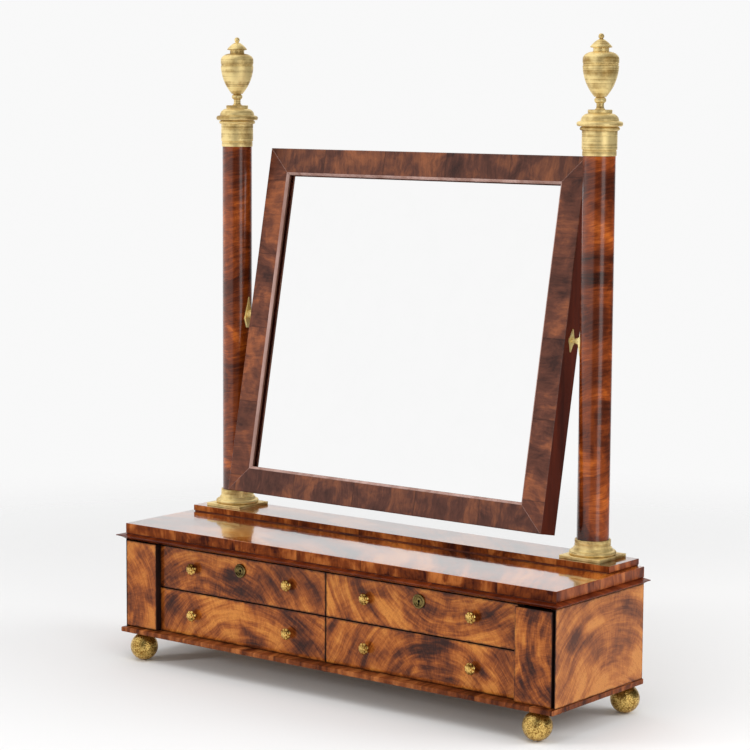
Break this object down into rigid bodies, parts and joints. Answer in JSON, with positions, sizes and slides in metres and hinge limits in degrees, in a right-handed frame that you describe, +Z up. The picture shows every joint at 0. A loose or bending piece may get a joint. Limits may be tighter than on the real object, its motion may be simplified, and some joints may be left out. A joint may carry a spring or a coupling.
{
  "type": "vanity mirror with drawers",
  "caption": "Swinging rectangular mirror between turned columns with brass urn finials, on a low veneered case of small drawers with ball feet.",
  "frame": {"origin": "on the table, under the middle of the whole object's box", "axes": "+Z up, +X to the right as seen from the front, -Y out of the drawers' fronts"},
  "size_m": [0.668, 0.2222, 0.78],
  "materials": {
    "veneer": "high-gloss french polish over flame mahogany veneer",
    "dark_wood": "high-gloss french polish, dark mahogany",
    "plain_wood": "bare secondary wood, aged",
    "brass": "satin old gilt",
    "dull_brass": "tarnished",
    "steel": "dull old steel",
    "looking_glass": "silvered"
  },
  "bodies": {
    "case": {"plinth_board": "veneer", "ball_feet_front": "brass", "ball_feet_back": "brass", "side_panel_left": "veneer", "side_panel_right": "veneer", "pilaster_left": "veneer", "pilaster_right": "veneer", "back_panel": "plain_wood", "drawer_guides": "plain_wood", "centre_divider": "plain_wood", "dust_boards": "plain_wood", "sub_top_board": "plain_wood", "cornice_front": "dark_wood", "cornice_left": "dark_wood", "cornice_right": "dark_wood", "top_slab": "veneer", "shelf_slip": "dark_wood", "shelf_board": "veneer", "column_bases": "brass", "column_shaft_left": "dark_wood", "column_shaft_right": "dark_wood", "column_capitals": "brass", "finials": "brass", "pivot_plates": "brass", "pivot_pins": "brass"},
    "mirror": {"frame_top_rail": "veneer", "frame_bottom_rail": "veneer", "frame_stile_left": "veneer", "frame_stile_right": "veneer", "mirror_glass": "looking_glass", "backboard": "plain_wood", "glass_blocks": "plain_wood", "socket_plates": "brass"},
    "drawer_upper_left": {"drawer_upper_left_front": "veneer", "drawer_upper_left_carcass": "plain_wood", "drawer_upper_left_bottom": "plain_wood", "drawer_upper_left_knobs": "brass", "escutcheon_left": "dull_brass", "lock_left": "brass"},
    "drawer_upper_right": {"drawer_upper_right_front": "veneer", "drawer_upper_right_carcass": "plain_wood", "drawer_upper_right_bottom": "plain_wood", "drawer_upper_right_knobs": "brass", "escutcheon_right": "dull_brass", "lock_right": "brass"},
    "drawer_lower_left": {"drawer_lower_left_front": "veneer", "drawer_lower_left_carcass": "plain_wood", "drawer_lower_left_bottom": "plain_wood", "drawer_lower_left_knobs": "brass"},
    "drawer_lower_right": {"drawer_lower_right_front": "veneer", "drawer_lower_right_carcass": "plain_wood", "drawer_lower_right_bottom": "plain_wood", "drawer_lower_right_knobs": "brass"},
    "bolt_left": {"lock_bolt_left": "steel"},
    "bolt_right": {"lock_bolt_right": "steel"}
  },
  "joints": [
    {"name": "mirror_tilt", "type": "hinge", "parent": "case", "child": "mirror", "pos_m": [0, 0.05416, 0.4297], "axis": [1, 0, 0], "continuous": true},
    {"name": "slide_upper_left", "type": "slide", "parent": "case", "child": "drawer_upper_left", "axis": [0, -1, 0], "range_m": [0, 0.12]},
    {"name": "slide_upper_right", "type": "slide", "parent": "case", "child": "drawer_upper_right", "axis": [0, -1, 0], "range_m": [0, 0.12]},
    {"name": "slide_lower_left", "type": "slide", "parent": "case", "child": "drawer_lower_left", "axis": [0, -1, 0], "range_m": [0, 0.12]},
    {"name": "slide_lower_right", "type": "slide", "parent": "case", "child": "drawer_lower_right", "axis": [0, -1, 0], "range_m": [0, 0.12]},
    {"name": "bolt_left", "type": "slide", "parent": "drawer_upper_left", "child": "bolt_left", "axis": [0, 0, 1], "range_m": [0, 0.007]},
    {"name": "bolt_right", "type": "slide", "parent": "drawer_upper_right", "child": "bolt_right", "axis": [0, 0, 1], "range_m": [0, 0.007]}
  ]
}
